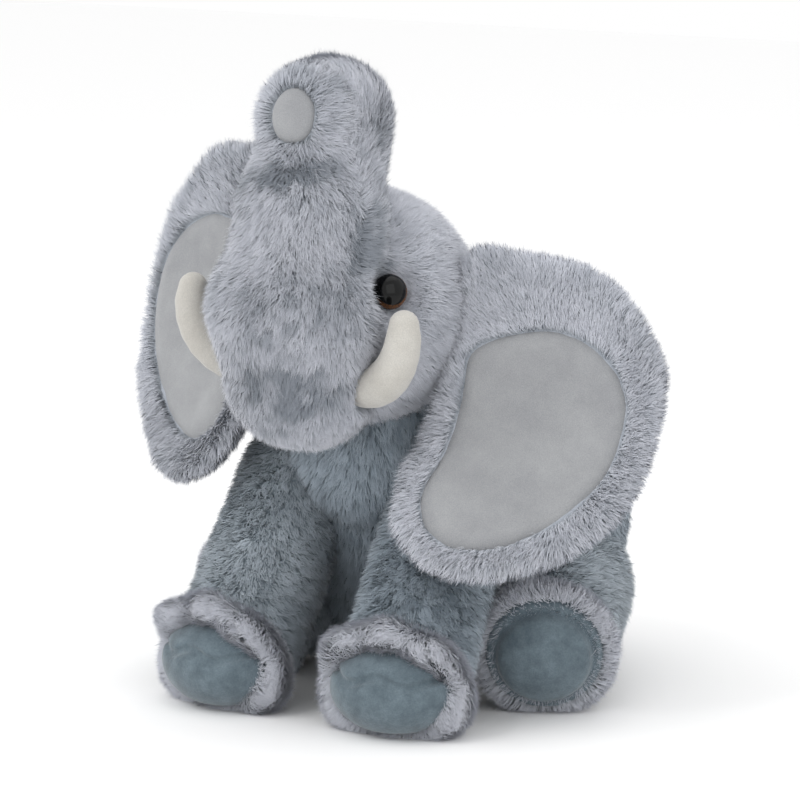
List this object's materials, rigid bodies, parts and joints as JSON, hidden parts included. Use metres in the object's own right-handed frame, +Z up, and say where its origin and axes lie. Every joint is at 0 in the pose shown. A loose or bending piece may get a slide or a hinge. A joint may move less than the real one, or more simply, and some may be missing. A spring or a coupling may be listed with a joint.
{
  "type": "stuffed toy elephant",
  "caption": "Sitting plush elephant with a raised curled trunk, wide dished ears, short tusks, furry legs with smooth foot pads, and a hanging tail.",
  "frame": {"origin": "centre of the footprint, on the floor the toy sits on", "axes": "+Z up, the toy faces -Y, and +X is the toy's own left side"},
  "size_m": [0.2763, 0.24, 0.2853],
  "materials": {
    "fur_silver": "long pile faux fur, silver grey with pale tips",
    "fur_slate": "long pile faux fur, slate grey with pale tips",
    "velour_silver": "short smooth velour, silver grey",
    "velour_slate": "short smooth velour, slate blue-grey",
    "velour_ivory": "short smooth velour, ivory",
    "fibre_filling": "white polyester fibre",
    "lens_amber": "clear amber lens over a black pupil",
    "shank_black": "polished black",
    "washer_white": "moulded white"
  },
  "bodies": {
    "torso": {"torso_skin": "fur_slate", "torso_filling": "fibre_filling", "front_leg_skin_left": "fur_slate", "front_leg_skin_right": "fur_slate", "front_leg_filling_left": "fibre_filling", "front_leg_filling_right": "fibre_filling", "front_toe_left": "velour_slate", "front_toe_right": "velour_slate", "front_cuff_left": "fur_silver", "front_cuff_right": "fur_silver"},
    "head": {"head_skin": "fur_silver", "head_filling": "fibre_filling", "eye_lens_left": "lens_amber", "eye_lens_right": "lens_amber", "eye_shank_left": "shank_black", "eye_shank_right": "shank_black", "eye_washer_left": "washer_white", "eye_washer_right": "washer_white", "tusk_cover_left": "velour_ivory", "tusk_cover_right": "velour_ivory", "tusk_filling_left": "fibre_filling", "tusk_filling_right": "fibre_filling"},
    "trunk": {"trunk_skin": "fur_silver", "trunk_filling": "fibre_filling", "trunk_tip_patch": "velour_silver"},
    "ear_left": {"ear_fur_left": "fur_silver", "ear_lining_left": "velour_silver", "ear_batting_left": "fibre_filling"},
    "ear_right": {"ear_fur_right": "fur_silver", "ear_lining_right": "velour_silver", "ear_batting_right": "fibre_filling"},
    "hind_leg_left": {"hind_leg_skin_left": "fur_slate", "hind_leg_filling_left": "fibre_filling", "hind_sole_left": "velour_slate", "hind_cuff_left": "fur_silver"},
    "hind_leg_right": {"hind_leg_skin_right": "fur_slate", "hind_leg_filling_right": "fibre_filling", "hind_sole_right": "velour_slate", "hind_cuff_right": "fur_silver"},
    "tail": {"tail_skin": "fur_slate", "tail_tuft": "fur_silver"}
  },
  "joints": [
    {"name": "head_nod", "type": "hinge", "parent": "torso", "child": "head", "pos_m": [0.0005, -0.038, 0.175], "axis": [-0.9976, 0, 0.0698], "range_deg": [0, 12], "stiffness_Nm_per_rad": 2},
    {"name": "trunk_bend", "type": "hinge", "parent": "head", "child": "trunk", "pos_m": [0.00308, -0.072, 0.21191], "axis": [-0.9976, 0, 0.0698], "range_deg": [-12, 12], "stiffness_Nm_per_rad": 0.8},
    {"name": "ear_left_flap", "type": "hinge", "parent": "head", "child": "ear_left", "pos_m": [0.04518, -0.029, 0.16887], "axis": [0.0684, -0.3846, -0.9206], "range_deg": [0, 15], "stiffness_Nm_per_rad": 0.4},
    {"name": "ear_right_flap", "type": "hinge", "parent": "head", "child": "ear_right", "pos_m": [-0.04022, -0.03, 0.20191], "axis": [0.1581, 0.2243, 0.9616], "range_deg": [0, 15], "stiffness_Nm_per_rad": 0.4},
    {"name": "hind_leg_left_lift", "type": "hinge", "parent": "torso", "child": "hind_leg_left", "pos_m": [0.05, 0.04, 0.042], "axis": [-0.9, 0, 0.4359], "range_deg": [0, 12], "stiffness_Nm_per_rad": 1.5},
    {"name": "hind_leg_right_lift", "type": "hinge", "parent": "torso", "child": "hind_leg_right", "pos_m": [-0.05, 0.04, 0.042], "axis": [-0.9, 0, -0.4359], "range_deg": [0, 12], "stiffness_Nm_per_rad": 1.5},
    {"name": "tail_swing", "type": "hinge", "parent": "torso", "child": "tail", "pos_m": [0, 0.11, 0.036], "axis": [0, 1, 0], "range_deg": [-15, 15], "stiffness_Nm_per_rad": 0.05}
  ]
}
